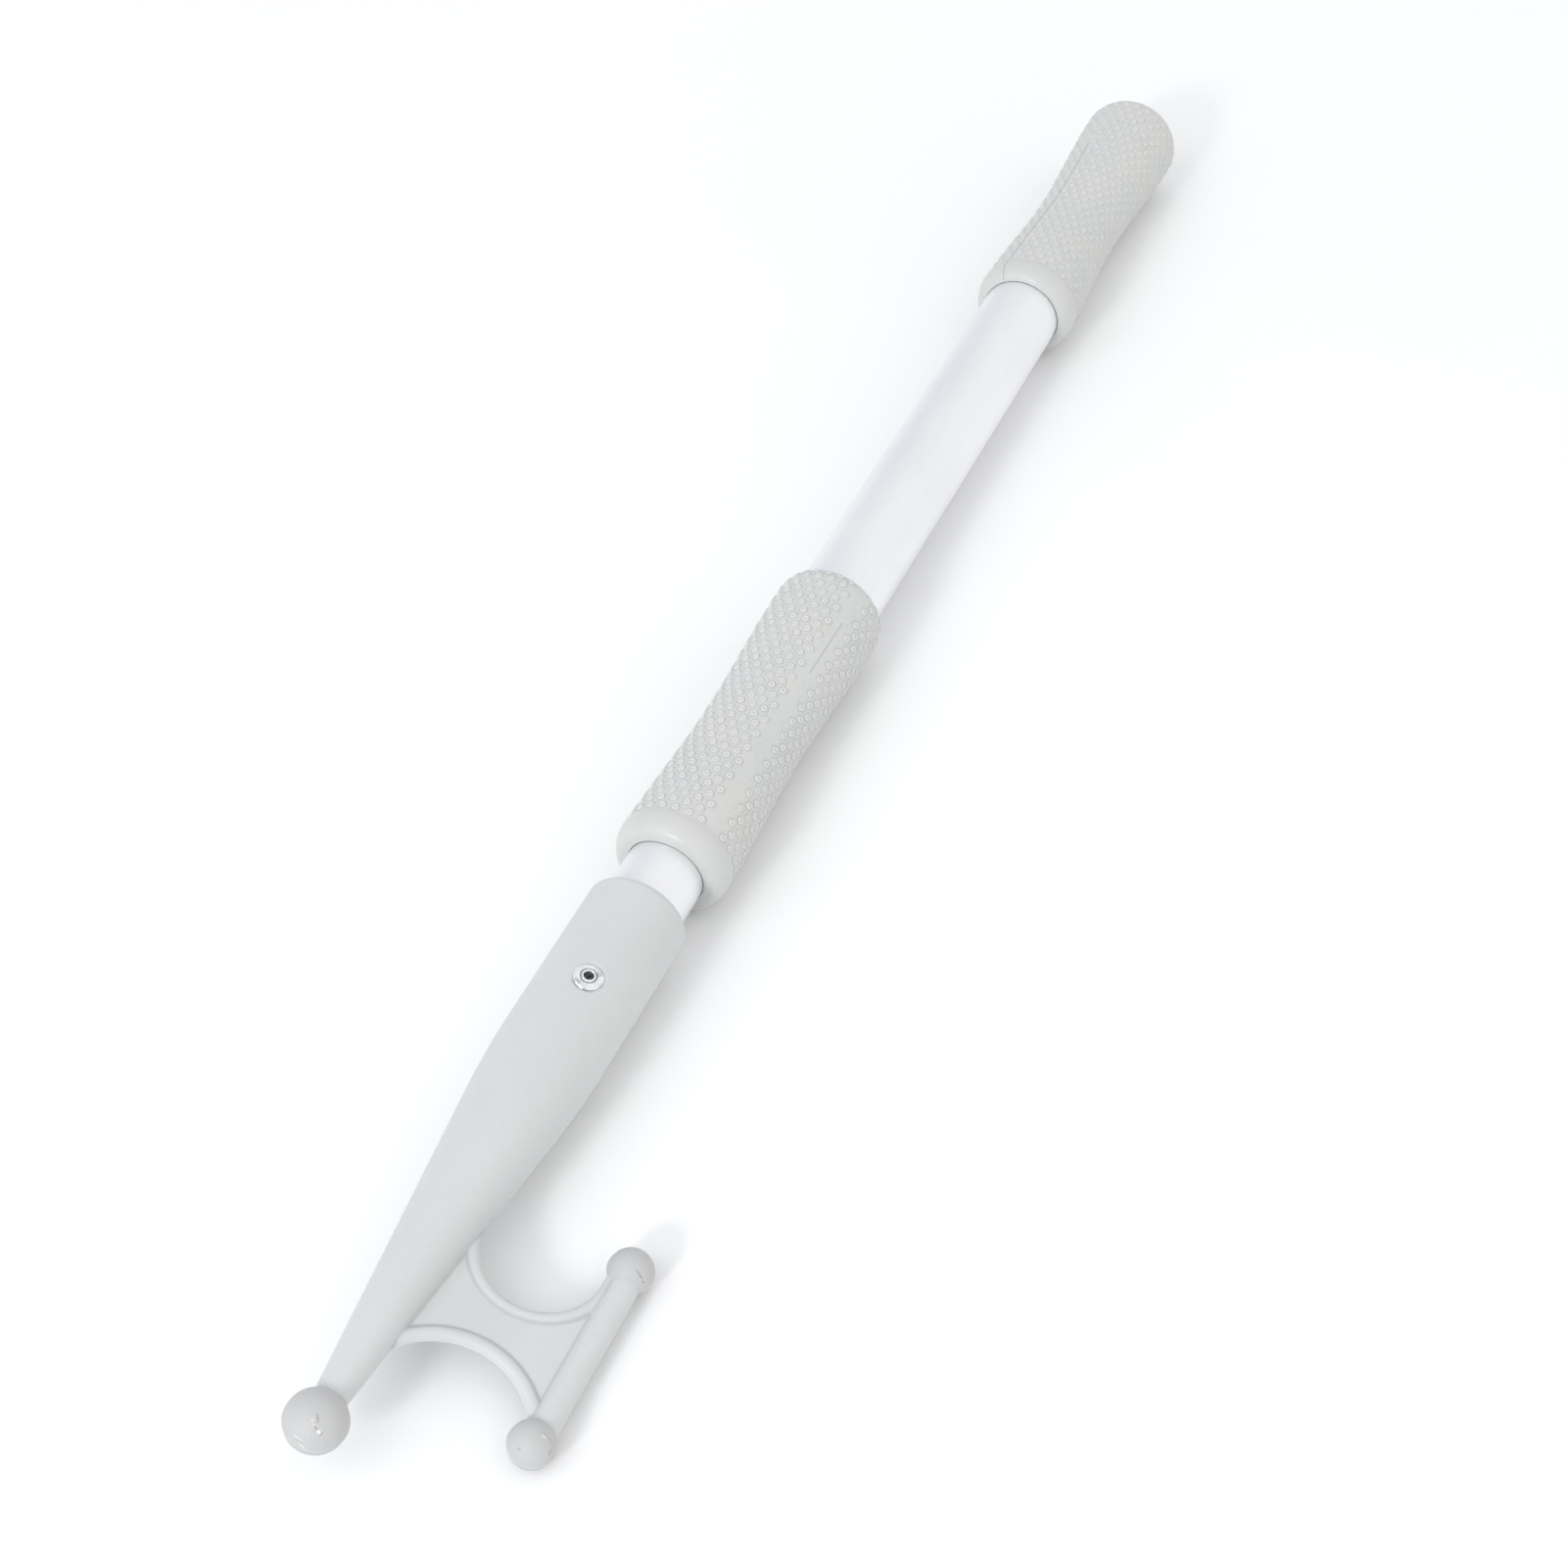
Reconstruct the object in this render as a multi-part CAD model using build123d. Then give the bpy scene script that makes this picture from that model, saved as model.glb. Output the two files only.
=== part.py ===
from build123d import *
import math
import os

# A telescoping boat hook with one sliding section, collapsed and lying on a level surface.
#
# The pieces are drawn in the pole's own frame: +X runs along the pole from the hook to the
# butt, +Y points from the pole to the hook's bar, and the hook is flat in the XY plane.
# A station is a distance along +X from the centre of the ball on the nose.
# place() then lays the whole pole down with the bar drooping to the surface.

# Tubes
OUTER_TUBE_R = 12.5
INNER_TUBE_R = 11.0
TUBE_WALL = 1.0
OUTER_BORE_R = OUTER_TUBE_R - TUBE_WALL
INNER_BORE_R = INNER_TUBE_R - TUBE_WALL

# Radial clearances
FIXED_GAP = 0.02
RUNNING_GAP = 0.07

# Hook head: a long taper that swells into a socket
NOSE_R = 7.6
TAPER_R_AT_NOSE = 3.4
TAPER_SLOPE = 0.1
TAPER_END = 94.0
SOCKET_R = 14.05
SOCKET_RIM = 167.0
SOCKET_DEPTH = 50.0
SOCKET_FLOOR = SOCKET_RIM - SOCKET_DEPTH
SOCKET_ROUND = 2.5
SOCKET_LEAD_IN = 0.3

# Hook: a bar with a ball at each end, held off the taper by a web between two round ribs
BAR_REACH = 44.8
BAR_R = 4.1
BAR_BALL_R = 5.8
FRONT_BALL = 19.7
BACK_BALL = 71.2
RIB_R = 1.8
WEB_THICKNESS = 2.0
MOUTH_CENTRE = (64.5, 24.9)
MOUTH_RIB_RADIUS = 17.4
NOTCH_CENTRE = (12.2, 23.6)
NOTCH_RIB_RADIUS = 23.4
NOTCH_RIB_ANGLES = (-70.0, 65.0)
WEB_FRONT = 22.0
WEB_FOOT = 3.0

# Blind rivets through the socket and the inner tube
RIVET_STATION = 131.8
RIVET_SHANK_R = 2.0
RIVET_HOLE_R = RIVET_SHANK_R + 0.05
RIVET_FLANGE_R = 4.0
RIVET_EDGE = 0.35
RIVET_CROWN = 1.3
RIVET_SEAT = 13.5
RIVET_SEAT_R = RIVET_FLANGE_R + 0.2
RIVET_BULB_R = 2.7
RIVET_BULB_TOP = 9.6
RIVET_END = 7.6
MANDREL_R = 1.15
MANDREL_TOP = 13.3
MANDREL_HEAD_R = 2.0
MANDREL_HEAD_LENGTH = 1.6

# Grips: soft sleeves waisted between two rims
GRIP_LENGTH = 114.3
RIM_R = 16.5
SHOULDER_LENGTH = 6.5
SHOULDER_DROP = 3.4
BUTT_DROP = 5.0
WAIST_SHARE = 0.47
LOWER_GRIP_START = 182.7
LOWER_WAIST_R = 15.0
LIP_THICKNESS = 3.0
LIP_R = 11.6
END_GRIP_START = 452.0
END_WAIST_R = 14.4
BUTT_WALL = 4.3
GRIP_BORE_R = OUTER_TUBE_R + FIXED_GAP
BUTT = END_GRIP_START + GRIP_LENGTH

# Guide bush in the outer tube's mouth, and the bung in its back end
BUSH_FLANGE = 1.5
BUSH_LENGTH = 30.0
BUNG_FLANGE = 1.5
BUNG_LENGTH = 11.0
BUNG_WALL = 2.0
OUTER_TUBE_START = LOWER_GRIP_START + LIP_THICKNESS + BUSH_FLANGE
OUTER_TUBE_END = BUTT - BUTT_WALL - BUNG_FLANGE

# Inner tube and the foam plug that floats it
INNER_TUBE_START = SOCKET_FLOOR
INNER_TUBE_END = 507.0
FLOAT_START = 165.0
FLOAT_LENGTH = 150.0

# Twist lock behind the inner tube: a cone on a stud opens a split collar
STUD_R = 4.0
STUD_HOLE_R = STUD_R + FIXED_GAP
STUD_IN_PLUG = 16.0
PLUG_LENGTH = 22.0
PLUG_FLANGE = 3.0
END_PLAY = 0.1
COLLAR_LENGTH = 24.0
COLLAR_R = OUTER_BORE_R - 0.1
COLLAR_NECK = 7.0
COLLAR_MOUTH_R = 8.4
COLLAR_SLIT = 2.6
CONE_HALF_ANGLE = 8.0
CONE_GAP = 0.04
CONE_FEED = 1.25
CONE_TAPER_LENGTH = 14.0
CONE_STANDOFF = 0.5
CONE_FLANGE = 3.0
CONE_FLANGE_R = 9.4
KEY_WIDTH = 2.3
KEY_R = 10.6
WASHER_R = 8.0
WASHER_THICKNESS = 1.2
NUT_ACROSS_FLATS = 13.0
NUT_THICKNESS = 6.5
STUD_PAST_NUT = 1.8
COLLAR_START = INNER_TUBE_END + PLUG_FLANGE + END_PLAY
COLLAR_END = COLLAR_START + COLLAR_LENGTH
CONE_FLANGE_START = COLLAR_END + CONE_STANDOFF + CONE_FEED
WASHER_START = CONE_FLANGE_START + CONE_FLANGE + END_PLAY
NUT_START = WASHER_START + WASHER_THICKNESS
STUD_END = NUT_START + NUT_THICKNESS + STUD_PAST_NUT

# How the pole lies: on the rims of both grips and the two balls of the bar
DROOP = math.asin((RIM_R - BAR_BALL_R) / BAR_REACH)
HOOK_SIDE = BAR_REACH * math.cos(DROOP) + BAR_BALL_R
AXIS_Y = (HOOK_SIDE - RIM_R) / 2
AXIS_Z = RIM_R
MID_STATION = (BUTT - NOSE_R) / 2


def place(shape):
    """Lay a shape down: hook to -Y and drooping, middle of the length over the origin."""
    turn = Rot(X=180 + math.degrees(DROOP))
    return Pos(-MID_STATION, AXIS_Y, AXIS_Z) * turn * shape


def turned(*edges):
    """Turn a closed half outline, radius against station, about the pole's axis."""
    return revolve(make_face(Curve() + list(edges)), Axis.X)


def sleeve(start, end, outer_r, inner_r=0.0):
    """A plain round sleeve, or a rod where there is no inner radius."""
    corners = [(start, inner_r), (start, outer_r), (end, outer_r), (end, inner_r)]
    return turned(Polyline(*corners, close=True))


def ball(station, reach, radius):
    """A ball in the hook's plane."""
    return Pos(station, reach, 0) * Sphere(radius)


def head_body():
    """The nose ball, the taper, the swell and the socket, with its bore."""
    taper_angle = math.atan(TAPER_SLOPE)
    taper_end_r = TAPER_R_AT_NOSE + TAPER_SLOPE * TAPER_END
    swell_r = (SOCKET_R - taper_end_r) / (1 - math.cos(taper_angle))
    swell_end = TAPER_END + swell_r * math.sin(taper_angle)
    bore_r = INNER_TUBE_R + FIXED_GAP
    round_start = (SOCKET_RIM - SOCKET_ROUND, SOCKET_R)
    round_end = (SOCKET_RIM, SOCKET_R - SOCKET_ROUND)
    taper = Polyline((0, 0), (0, TAPER_R_AT_NOSE), (TAPER_END, taper_end_r))
    swell = TangentArc((TAPER_END, taper_end_r), (swell_end, SOCKET_R), tangent=(1, TAPER_SLOPE))
    wall = Line((swell_end, SOCKET_R), round_start)
    rim = TangentArc(round_start, round_end, tangent=(1, 0))
    bore = Polyline(
        round_end,
        (SOCKET_RIM, bore_r + SOCKET_LEAD_IN),
        (SOCKET_RIM - SOCKET_LEAD_IN, bore_r),
        (SOCKET_FLOOR, bore_r),
        (SOCKET_FLOOR, 0),
        (0, 0),
    )
    return turned(taper, swell, wall, rim, bore) + ball(0, 0, NOSE_R)


def round_rib(path):
    """A round rib along a path in the hook's plane."""
    section = Plane(origin=path @ 0, z_dir=path % 0) * Circle(RIB_R)
    return sweep(section, path=path)


def mouth_rib():
    """The rib round the rope mouth: a half turn that runs on along the bar to its back ball."""
    x, y = MOUTH_CENTRE
    half_turn = CenterArc((x, y), MOUTH_RIB_RADIUS, 275, -185)
    along_bar = Line((x, y + MOUTH_RIB_RADIUS), (BACK_BALL, y + MOUTH_RIB_RADIUS))
    return round_rib(half_turn + along_bar)


def notch_rib():
    """The rib round the notch in front, from the taper to the front ball."""
    start, end = NOTCH_RIB_ANGLES
    return round_rib(CenterArc(NOTCH_CENTRE, NOTCH_RIB_RADIUS, start, end - start))


def web():
    """The thin web between the two ribs."""
    corners = [
        (WEB_FRONT, WEB_FOOT),
        (MOUTH_CENTRE[0], WEB_FOOT),
        (MOUTH_CENTRE[0], BAR_REACH),
        (WEB_FRONT, BAR_REACH),
    ]
    plate = make_face(Polyline(*corners, close=True))
    plate -= Pos(*MOUTH_CENTRE) * Circle(MOUTH_RIB_RADIUS)
    plate -= Pos(*NOTCH_CENTRE) * Circle(NOTCH_RIB_RADIUS)
    return extrude(plate, WEB_THICKNESS / 2, both=True)


def hook_bar():
    """The straight bar with a ball at each end."""
    rod = Pos(FRONT_BALL, BAR_REACH, 0) * Rot(Y=90) * Cylinder(
        BAR_R, BACK_BALL - FRONT_BALL, align=(Align.CENTER, Align.CENTER, Align.MIN)
    )
    return rod + ball(FRONT_BALL, BAR_REACH, BAR_BALL_R) + ball(BACK_BALL, BAR_REACH, BAR_BALL_R)


def rivet_drill():
    """The hole through the socket and the tube for both rivets."""
    return Pos(RIVET_STATION, 0, 0) * Cylinder(RIVET_HOLE_R, 4 * SOCKET_R)


def rivet_seats():
    """The flats that the two rivet flanges pull down on."""
    depth = SOCKET_R - RIVET_SEAT
    middle = RIVET_SEAT + depth / 2
    seat = Pos(RIVET_STATION, 0, middle) * Cylinder(RIVET_SEAT_R, depth + 0.01)
    return seat + mirror(seat, Plane.XY)


def hook_head():
    """The moulded head, one piece."""
    head = head_body() + hook_bar() + web() + mouth_rib() + notch_rib()
    return head - rivet_drill() - rivet_seats()


def upright(outline):
    """Turn a half outline, radius against height, about the rivet's axis, and its twin."""
    piece = Pos(RIVET_STATION, 0, 0) * revolve(Plane.XZ * make_face(outline), Axis.Z)
    return piece + mirror(piece, Plane.XY)


def rivet_bodies():
    """Two hollow rivet bodies: crowned flange, shank and the bulb inside the tube."""
    bore_r = MANDREL_R + 0.05
    crown = ThreePointArc(
        (RIVET_FLANGE_R, RIVET_SEAT + RIVET_EDGE),
        (RIVET_FLANGE_R * 0.65, RIVET_SEAT + RIVET_CROWN * 0.8),
        (bore_r, RIVET_SEAT + RIVET_CROWN),
    )
    rest = Polyline(
        (bore_r, RIVET_SEAT + RIVET_CROWN),
        (bore_r, RIVET_END),
        (RIVET_SHANK_R, RIVET_END),
        (RIVET_BULB_R, (RIVET_END + RIVET_BULB_TOP) / 2),
        (RIVET_BULB_R, RIVET_BULB_TOP),
        (RIVET_SHANK_R, RIVET_BULB_TOP),
        (RIVET_SHANK_R, RIVET_SEAT),
        (RIVET_FLANGE_R, RIVET_SEAT),
        (RIVET_FLANGE_R, RIVET_SEAT + RIVET_EDGE),
    )
    return upright(Curve() + [crown, rest])


def rivet_mandrels():
    """The two broken-off steel pins that stay in the rivets."""
    head_end = RIVET_END - MANDREL_HEAD_LENGTH
    return upright(
        Polyline(
            (0, head_end),
            (MANDREL_HEAD_R, head_end),
            (MANDREL_HEAD_R, RIVET_END),
            (MANDREL_R, RIVET_END),
            (MANDREL_R, MANDREL_TOP),
            (0, MANDREL_TOP),
            close=True,
        )
    )


def grip_blank(start, waist_r, back_drop):
    """A solid grip: rounded ends, a rim at each end and a waist between them."""
    end = start + GRIP_LENGTH
    front_rim = start + SHOULDER_LENGTH
    back_rim = end - SHOULDER_LENGTH
    front_r = RIM_R - SHOULDER_DROP
    back_r = RIM_R - back_drop
    waist = start + WAIST_SHARE * GRIP_LENGTH
    front = EllipticalCenterArc((front_rim, front_r), SHOULDER_LENGTH, SHOULDER_DROP, 90)
    side = Spline(
        (front_rim, RIM_R), (waist, waist_r), (back_rim, RIM_R), tangents=[(1, 0)] * 3
    )
    back = EllipticalCenterArc((back_rim, back_r), SHOULDER_LENGTH, back_drop, 0)
    inside = Polyline((end, back_r), (end, 0), (start, 0), (start, front_r))
    return turned(front, side, back, inside)


def lower_grip():
    """The grip over the outer tube's mouth, with a lip that closes in on the inner tube."""
    bore_start = LOWER_GRIP_START + LIP_THICKNESS
    blank = grip_blank(LOWER_GRIP_START, LOWER_WAIST_R, SHOULDER_DROP)
    bore = sleeve(bore_start, LOWER_GRIP_START + GRIP_LENGTH, GRIP_BORE_R)
    return blank - bore - sleeve(LOWER_GRIP_START, bore_start, LIP_R)


def end_grip():
    """The grip on the back of the outer tube, closed by a blunt butt."""
    blank = grip_blank(END_GRIP_START, END_WAIST_R, BUTT_DROP)
    return blank - sleeve(END_GRIP_START, BUTT - BUTT_WALL, GRIP_BORE_R)


def guide_bush():
    """A thin flanged bush that guides the inner tube and stops the collar pulling out."""
    bore_r = INNER_TUBE_R + RUNNING_GAP
    flange = sleeve(OUTER_TUBE_START - BUSH_FLANGE, OUTER_TUBE_START, OUTER_TUBE_R, bore_r)
    barrel_end = OUTER_TUBE_START + BUSH_LENGTH
    return flange + sleeve(OUTER_TUBE_START, barrel_end, OUTER_BORE_R - FIXED_GAP, bore_r)


def rear_bung():
    """The cup-shaped bung in the outer tube's back end, which the lock comes up against."""
    start = OUTER_TUBE_END - BUNG_LENGTH
    back = OUTER_TUBE_END + BUNG_FLANGE
    outer_r = OUTER_BORE_R - FIXED_GAP
    cup = sleeve(start, OUTER_TUBE_END, outer_r) + sleeve(OUTER_TUBE_END, back, OUTER_TUBE_R)
    return cup - sleeve(start + BUNG_WALL, back, outer_r - BUNG_WALL)


def inner_tube():
    """The sliding tube, drilled for the rivets."""
    tube = sleeve(INNER_TUBE_START, INNER_TUBE_END, INNER_TUBE_R, INNER_BORE_R)
    return tube - rivet_drill()


def lock_plug():
    """The plug pressed into the inner tube's back end, which holds the stud."""
    barrel = sleeve(INNER_TUBE_END - PLUG_LENGTH, INNER_TUBE_END, INNER_BORE_R - FIXED_GAP)
    flange_end = INNER_TUBE_END + PLUG_FLANGE
    flange = sleeve(INNER_TUBE_END, flange_end, INNER_TUBE_R)
    return barrel + flange - sleeve(flange_end - STUD_IN_PLUG, flange_end, STUD_HOLE_R)


def lock_collar():
    """The split collar: a neck that runs on the stud, then a bore that opens to the back."""
    neck_end = COLLAR_START + COLLAR_NECK
    opening = (COLLAR_END - neck_end) * math.tan(math.radians(CONE_HALF_ANGLE))
    stud_r = STUD_R + RUNNING_GAP
    collar = turned(
        Polyline(
            (COLLAR_START, stud_r),
            (COLLAR_START, COLLAR_R),
            (COLLAR_END, COLLAR_R),
            (COLLAR_END, COLLAR_MOUTH_R),
            (neck_end, COLLAR_MOUTH_R - opening),
            (neck_end, stud_r),
            close=True,
        )
    )
    slit = Pos((COLLAR_START + COLLAR_END) / 2, COLLAR_R, 0)
    return collar - slit * Box(2 * COLLAR_LENGTH, 2 * COLLAR_R, COLLAR_SLIT)


def lock_cone():
    """The cone nut, backed off by its feed, with a key that rides in the collar's slit."""
    slope = math.tan(math.radians(CONE_HALF_ANGLE))
    big_station = COLLAR_END + CONE_FEED
    big_r = COLLAR_MOUTH_R - CONE_GAP
    small_station = big_station - CONE_TAPER_LENGTH
    flange_end = CONE_FLANGE_START + CONE_FLANGE
    bore_r = STUD_R + RUNNING_GAP
    cone = turned(
        Polyline(
            (small_station, bore_r),
            (small_station, big_r - slope * CONE_TAPER_LENGTH),
            (big_station, big_r),
            (CONE_FLANGE_START, big_r),
            (CONE_FLANGE_START, CONE_FLANGE_R),
            (flange_end, CONE_FLANGE_R),
            (flange_end, bore_r),
            close=True,
        )
    )
    key_height = KEY_R - STUD_R - 1
    key = Pos((small_station + flange_end) / 2, KEY_R - key_height / 2, 0) * Box(
        flange_end - small_station, key_height, KEY_WIDTH
    )
    return cone + key


def lock_stud():
    """The stud from the plug through the collar, the cone and the end stop."""
    return sleeve(INNER_TUBE_END + PLUG_FLANGE - STUD_IN_PLUG, STUD_END, STUD_R)


def stop_washer():
    """The washer that stops the cone running off the stud."""
    return sleeve(WASHER_START, NUT_START, WASHER_R, STUD_HOLE_R)


def stop_nut():
    """The hexagon nut behind the washer."""
    hexagon = RegularPolygon(NUT_ACROSS_FLATS / 2, 6, major_radius=False)
    blank = extrude(Plane.YZ.offset(NUT_START) * hexagon, NUT_THICKNESS)
    return blank - sleeve(NUT_START, NUT_START + NUT_THICKNESS, STUD_HOLE_R)


PIECES = {
    "hook_head": hook_head(),
    "rivet_bodies": rivet_bodies(),
    "rivet_mandrels": rivet_mandrels(),
    "inner_tube": inner_tube(),
    "float_plug": sleeve(FLOAT_START, FLOAT_START + FLOAT_LENGTH, INNER_BORE_R - FIXED_GAP),
    "lock_plug": lock_plug(),
    "lock_stud": lock_stud(),
    "lock_collar": lock_collar(),
    "lock_cone": lock_cone(),
    "stop_washer": stop_washer(),
    "stop_nut": stop_nut(),
    "outer_tube": sleeve(OUTER_TUBE_START, OUTER_TUBE_END, OUTER_TUBE_R, OUTER_BORE_R),
    "guide_bush": guide_bush(),
    "rear_bung": rear_bung(),
    "lower_grip": lower_grip(),
    "end_grip": end_grip(),
}

os.makedirs("parts", exist_ok=True)
for name, piece in PIECES.items():
    export_step(place(piece), f"parts/{name}.step")
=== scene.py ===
import math

import bmesh
import bpy
import numpy as np
from mathutils import Matrix, Vector


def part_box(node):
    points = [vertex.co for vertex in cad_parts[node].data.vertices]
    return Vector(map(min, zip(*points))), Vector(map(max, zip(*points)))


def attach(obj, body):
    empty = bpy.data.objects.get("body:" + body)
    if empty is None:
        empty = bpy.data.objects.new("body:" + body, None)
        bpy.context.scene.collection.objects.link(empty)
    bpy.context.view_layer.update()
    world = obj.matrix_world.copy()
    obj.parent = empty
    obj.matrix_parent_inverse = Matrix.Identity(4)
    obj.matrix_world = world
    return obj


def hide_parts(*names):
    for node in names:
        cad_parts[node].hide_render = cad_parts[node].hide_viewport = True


# A collapsed telescoping boat hook on a pale floor.
# Sizes are in millimetres. Pieces that belong to the hook are drawn in the hook's own frame: x is the
# station behind the centre of the nose ball, y reaches from the pole to the hook's bar, and the hook
# is flat in the xy plane. Grips are drawn in a level frame with its origin at the same ball.

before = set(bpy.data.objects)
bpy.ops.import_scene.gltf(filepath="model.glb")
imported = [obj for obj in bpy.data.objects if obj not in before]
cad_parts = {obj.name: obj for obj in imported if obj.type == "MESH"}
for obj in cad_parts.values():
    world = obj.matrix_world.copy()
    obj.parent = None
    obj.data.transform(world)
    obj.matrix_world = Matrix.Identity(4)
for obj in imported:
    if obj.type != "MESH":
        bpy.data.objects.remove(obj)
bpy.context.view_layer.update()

MM = 0.001
SHARP_ANGLE = 50.0


def shade(red, green, blue):
    """A linear colour from display values of 0 to 255."""
    values = np.array((red, green, blue)) / 255
    linear = np.where(values <= 0.04045, values / 12.92, ((values + 0.055) / 1.055) ** 2.4)
    return linear.tolist() + [1.0]


# Hook head
NOSE_R = 7.6
TAPER_R_AT_NOSE = 3.4
TAPER_SLOPE = 0.1
TAPER_END = 94.0
SOCKET_R = 14.05
SOCKET_RIM = 167.0
SOCKET_FLOOR = 117.0
SOCKET_BORE_R = 11.02
SOCKET_ROUND = 2.5
BORE_EDGE_ROUND = 0.3
BAR_REACH = 44.8
BAR_R = 3.6
BAR_LINE = 45.3
BAR_BALL_R = 5.8
FRONT_BALL = 19.7
BACK_BALL = 71.2
RIB_R = 1.8
WEB_THICKNESS = 2.0
WEB_FRONT = 22.0
WEB_FOOT = 3.0
MOUTH_CENTRE = (64.5, 24.9)
MOUTH_RIB_RADIUS = 17.4
MOUTH_RIB_END = 275.0
NOTCH_CENTRE = (12.2, 23.6)
NOTCH_RIB_RADIUS = 23.4
NOTCH_RIB_HALF_ANGLE = 70.0
BALL_FILLET = 0.2
RIB_FILLET = 0.35
BAR_FILLET = 0.4
HOOK_FILLET = 0.5
PARTING_HEIGHT = 0.15
PARTING_HALF = 0.16
HEAD_MESH_STEP = 0.54
HEAD_MESH_MARGIN = 1.0
PARTING_MESH = (-0.6, -0.35, -0.2, -0.1, 0.0, 0.1, 0.2, 0.35, 0.6)
# Painted shadow in the step below the parting line: its heights and strengths
PARTING_STEP_Z = (0.1, 0.35, 0.6, 1.1)
PARTING_STEP_SHADE = (0.0, 1.0, 0.7, 0.0)
# How far the painted shade beside the head's creases reaches
CREASE_REACH = 0.75
WORN_REACH = 0.5
# How far the painted highlight on the socket's edge reaches
EDGE_REACH = 0.8

# Marks on the head, each a stroke between two places in the hook's frame, with its half width and
# its strength: the gate scar and the scuffs on the nose ball, then scratches on the other two balls
SUNK_MARKS = (
    ((-1.6, 0.5, -7.4), (-2.8, 1.4, -6.9), 0.3, 0.7),
    ((-3.6, 0.4, -6.7), (-3.4, 0.8, -6.8), 0.3, 0.8),
    ((-4.0, 1.2, -6.4), (-4.2, 2.2, -5.9), 0.3, 0.7),
    ((-4.8, 3.3, -5.1), (-4.2, 3.3, -5.4), 0.3, 0.9),
    ((-7.0, -1.3, -2.6), (-7.3, 0.6, -1.9), 0.3, 0.5),
    ((15.5, 42.7, -3.6), (15.7, 43.0, -3.8), 0.35, 0.6),
    ((21.0, 45.6, -5.6), (20.9, 47.4, -5.1), 0.25, 0.4),
    ((20.9, 47.4, -5.1), (20.4, 49.1, -3.8), 0.25, 0.4),
    ((19.2, 49.4, -3.5), (18.2, 49.6, -2.8), 0.35, 0.6),
    ((69.4, 46.1, -5.3), (68.8, 48.3, -3.9), 0.28, 0.8),
    ((68.5, 48.7, -3.3), (68.6, 48.9, -3.1), 0.35, 0.7),
    ((37.5, 44.1, -3.4), (38.1, 46.6, -3.4), 0.25, 0.3),
)
RAISED_MARKS = (
    ((-3.1, 0.1, -6.9), (-3.9, 0.9, -6.5), 0.45, 0.35),
    ((-4.3, 2.5, -5.7), (-4.5, 2.9, -5.5), 0.4, 0.9),
    ((-5.6, -2.8, -4.3), (-5.4, 1.3, -5.2), 0.2, 0.25),
    ((-6.6, -2.2, -3.0), (-6.9, -0.2, -3.1), 0.25, 0.45),
    ((-7.2, -0.6, -2.3), (-7.4, 1.5, -0.8), 0.25, 0.55),
    ((20.3, 46.2, -5.5), (20.3, 46.9, -5.3), 0.35, 0.5),
    ((71.9, 40.8, -4.1), (73.2, 42.5, -5.0), 0.25, 0.4),
)

# Rivets
RIVET_STATION = 131.8
RIVET_SEAT = 13.5
RIVET_SEAT_R = 4.2
RIVET_HOLE_R = 2.05
RIVET_R = 4.0
RIVET_SHANK_R = 2.0
RIVET_BULB_R = 2.7
RIVET_BULB_TOP = 9.6
RIVET_END = 7.6
MANDREL_R = 1.15
MANDREL_TOP = 13.8
MANDREL_HEAD_R = 2.0
MANDREL_HEAD_LENGTH = 1.6
TORN_DEPTH = 0.3
TORN_UNEVEN = 0.35
RIVET_DOME = ((RIVET_R, 13.62), (3.95, 13.8), (3.6, 14.08), (3.0, 14.34), (2.4, 14.48))
RIVET_GROOVE = ((2.2, 14.44), (2.12, 14.25), (2.04, 14.25))
RIVET_RING = ((1.98, 14.5), (1.85, 14.72), (1.65, 14.8), (1.42, 14.72), (1.3, 14.5), (1.25, 14.2))
RIVET_INSIDE_R = 1.2
RIVET_SEGMENTS = 64
PIN_SEGMENTS = 32

# Grips
RIM_R = 16.5
SHOULDER_LENGTH = 6.5
SHOULDER_DROP = 3.4
BUTT_DROP = 5.0
WAIST_SHARE = 0.47
LOWER_WAIST_R = 15.0
END_WAIST_R = 14.4
LIP_THICKNESS = 3.0
LIP_R = 11.12
BUTT_WALL = 4.3
GRIP_BORE_R = 12.52
LIP_ROUND = 0.25
MOUTH_GAP = 0.06
MOUTH_DEPTH = 1.5
GRIP_LENGTH = 114.3
PIPS_ROUND = 26
PIP_PITCH = 3.5
PIP_HEIGHT = 0.44
PIP_RINGS = ((1.1, 0.0), (0.9, 0.75), (0.72, 1.0), (0.5, 0.55))
PIP_CENTRE = 0.25
PIP_UNEVEN = 0.4
LOWER_CLARITY = 1.0
END_CLARITY = 0.75
PIP_SIDES = 12
PROFILE_STEPS = 200
SHOULDER_STEPS = 60
FRONT_RINGS = 24
FRONT_GAP = 0.5
BACK_RINGS = 12
BACK_GAP = 0.3
LIP_STEPS = 6
SEAM_STEPS = 160
SMOOTH_SHOULDER = 8.0
FIRST_PIP = 9.2
LOWER_LAST_PIP = 3.8
END_LAST_PIP = 9.0
LOWER_SEAM_ANGLE = 38.5
END_SEAM_ANGLE = -29.0
LOWER_SEAM_BLANK = 0.75
END_SEAM_BLANK = 0.4
SEAM_WIDTH = 0.3
SEAM_HEIGHT = 0.1
LOWER_SEAM_RUN = (76.0, 98.0)
END_SEAM_RUN = (0.5, 85.0)
LOWER_SEAM_TONE = -1.4
END_SEAM_TONE = -1.8
SEAM_DARKEST = -2.0

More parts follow.
